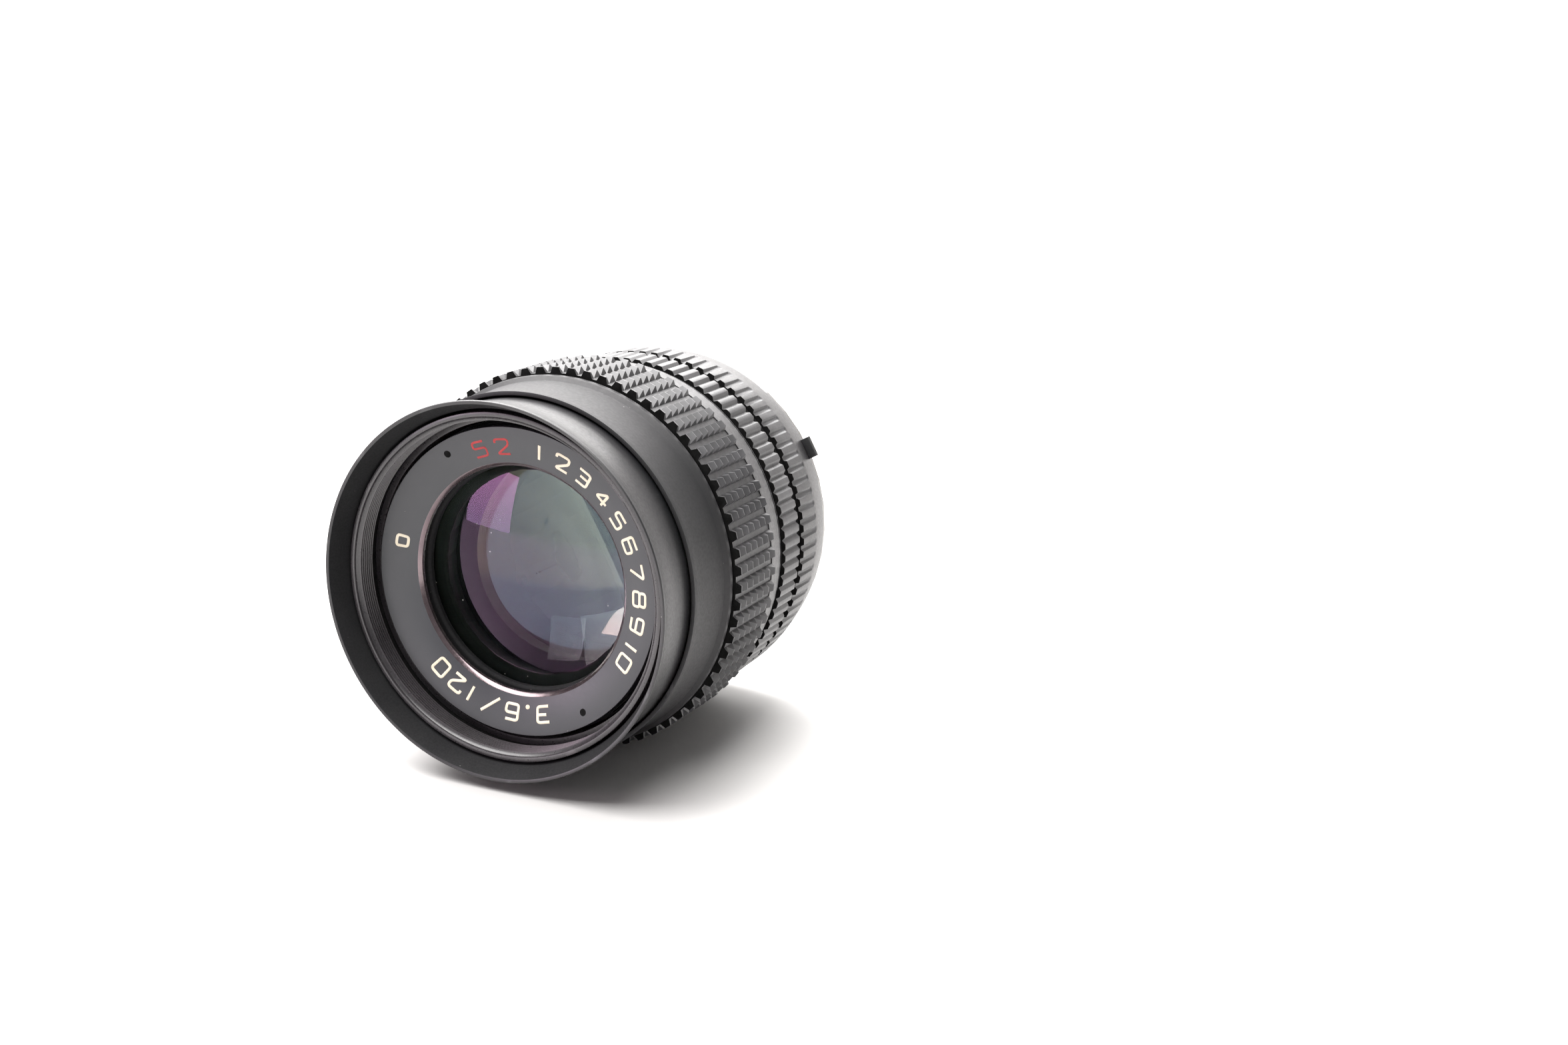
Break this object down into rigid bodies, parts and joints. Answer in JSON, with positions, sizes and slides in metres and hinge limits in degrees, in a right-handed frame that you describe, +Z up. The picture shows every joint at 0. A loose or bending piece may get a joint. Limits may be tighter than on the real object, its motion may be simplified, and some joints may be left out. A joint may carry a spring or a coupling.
{
  "type": "prime camera lens",
  "caption": "Manual-focus prime camera lens with sliding hood, knurled focusing ring, click-stop aperture ring, iris and bayonet mount.",
  "frame": {"origin": "under the middle of the lens box, on the surface that it lies on", "axes": "+Y along the optical axis, from the front glass to the bayonet; +Z up; +X to the right seen from the front"},
  "size_m": [0.062, 0.0666, 0.0619],
  "materials": {
    "satin_black_aluminium": "black anodised, satin",
    "matte_black_paint": "matte black anti-reflection paint",
    "grip_black": "black anodised, milled into rows of small pyramids",
    "chromed_steel": "satin chrome",
    "helicoid_brass": "turned, greased thread",
    "screw_steel": "turned, slightly darkened",
    "blued_blade_steel": "blued, thin",
    "coated_glass": "polished, magenta and green multi-layer coating",
    "black_plastic": "moulded, fine satin",
    "black_felt": "dense black felt"
  },
  "bodies": {
    "root": {"mount_flange": "chromed_steel", "rear_baffle": "black_plastic", "mount_screw_1": "screw_steel", "mount_screw_2": "screw_steel", "mount_screw_3": "screw_steel", "mount_screw_4": "screw_steel", "mount_screw_5": "screw_steel", "fixed_barrel": "helicoid_brass", "fixed_rib_ring": "satin_black_aluminium", "rib_ring_screw_1": "screw_steel", "rib_ring_screw_2": "screw_steel", "rib_ring_screw_3": "screw_steel", "guide_screw_1": "screw_steel", "guide_screw_2": "screw_steel", "click_ball": "screw_steel", "click_spring": "screw_steel"},
    "optic_block": {"filter_ring": "satin_black_aluminium", "hood_friction_ring": "black_felt", "name_ring": "satin_black_aluminium", "front_retaining_ring": "matte_black_paint", "front_cell": "satin_black_aluminium", "glass_front": "coated_glass", "glass_second": "coated_glass", "glass_spacer": "matte_black_paint", "glass_third": "coated_glass", "inner_retaining_ring": "matte_black_paint", "inner_barrel": "satin_black_aluminium", "thrust_ring": "helicoid_brass", "iris_housing": "matte_black_paint", "iris_cover": "matte_black_paint", "rear_cell": "satin_black_aluminium", "glass_rear": "coated_glass", "rear_retaining_ring": "matte_black_paint"},
    "focus_ring": {"nose_ring": "satin_black_aluminium", "focus_grip": "grip_black", "focus_sleeve": "helicoid_brass", "sleeve_screw_1": "screw_steel", "sleeve_screw_2": "screw_steel", "sleeve_screw_3": "screw_steel"},
    "hood": {"lens_hood": "satin_black_aluminium"},
    "aperture_ring_body": {"aperture_ring": "satin_black_aluminium", "coupling_prong": "black_plastic", "aperture_drive_screw": "screw_steel"},
    "iris_lever": {"iris_lever_ring": "blued_blade_steel"},
    "iris_drive": {"iris_drive_ring": "blued_blade_steel"},
    "blade_1": {"iris_blade_1": "blued_blade_steel"},
    "blade_2": {"iris_blade_2": "blued_blade_steel"},
    "blade_3": {"iris_blade_3": "blued_blade_steel"},
    "blade_4": {"iris_blade_4": "blued_blade_steel"},
    "blade_5": {"iris_blade_5": "blued_blade_steel"},
    "blade_6": {"iris_blade_6": "blued_blade_steel"}
  },
  "joints": [
    {"name": "focus_slide", "type": "slide", "parent": "root", "child": "optic_block", "axis": [0, -1, 0], "range_m": [0, 0.017]},
    {"name": "focus_turn", "type": "hinge", "parent": "optic_block", "child": "focus_ring", "pos_m": [0, -0.0099, 0.03095], "axis": [0, -1, 0], "range_deg": [0, 240]},
    {"name": "hood_slide", "type": "slide", "parent": "optic_block", "child": "hood", "axis": [0, -1, 0], "range_m": [0, 0.012]},
    {"name": "aperture_turn", "type": "hinge", "parent": "root", "child": "aperture_ring_body", "pos_m": [0, -0.0099, 0.03095], "axis": [0, -1, 0], "range_deg": [0, 48]},
    {"name": "lever_turn", "type": "hinge", "parent": "root", "child": "iris_lever", "pos_m": [0, -0.0099, 0.03095], "axis": [0, -1, 0], "range_deg": [0, 48]},
    {"name": "drive_turn", "type": "hinge", "parent": "optic_block", "child": "iris_drive", "pos_m": [0, -0.0099, 0.03095], "axis": [0, -1, 0], "range_deg": [0, 48]},
    {"name": "blade_turn_1", "type": "hinge", "parent": "optic_block", "child": "blade_1", "pos_m": [0.021, 0.0031, 0.03095], "axis": [0, -1, 0], "range_deg": [0, 35.06]},
    {"name": "blade_turn_2", "type": "hinge", "parent": "optic_block", "child": "blade_2", "pos_m": [0.0105, 0.0031, 0.04914], "axis": [0, -1, 0], "range_deg": [0, 35.06]},
    {"name": "blade_turn_3", "type": "hinge", "parent": "optic_block", "child": "blade_3", "pos_m": [-0.0105, 0.0031, 0.04914], "axis": [0, -1, 0], "range_deg": [0, 35.06]},
    {"name": "blade_turn_4", "type": "hinge", "parent": "optic_block", "child": "blade_4", "pos_m": [-0.021, 0.0031, 0.03095], "axis": [0, -1, 0], "range_deg": [0, 35.06]},
    {"name": "blade_turn_5", "type": "hinge", "parent": "optic_block", "child": "blade_5", "pos_m": [-0.0105, 0.0031, 0.01276], "axis": [0, -1, 0], "range_deg": [0, 35.06]},
    {"name": "blade_turn_6", "type": "hinge", "parent": "optic_block", "child": "blade_6", "pos_m": [0.0105, 0.0031, 0.01276], "axis": [0, -1, 0], "range_deg": [0, 35.06]}
  ],
  "couplings": [
    {"joint": "focus_slide", "follows": "focus_turn", "m_per_rad": 0.004058},
    {"joint": "lever_turn", "follows": "aperture_turn", "ratio": 1},
    {"joint": "drive_turn", "follows": "aperture_turn", "ratio": 1},
    {"joint": "blade_turn_1", "follows": "aperture_turn", "ratio": 0.73038},
    {"joint": "blade_turn_2", "follows": "aperture_turn", "ratio": 0.73038},
    {"joint": "blade_turn_3", "follows": "aperture_turn", "ratio": 0.73038},
    {"joint": "blade_turn_4", "follows": "aperture_turn", "ratio": 0.73038},
    {"joint": "blade_turn_5", "follows": "aperture_turn", "ratio": 0.73038},
    {"joint": "blade_turn_6", "follows": "aperture_turn", "ratio": 0.73038}
  ]
}
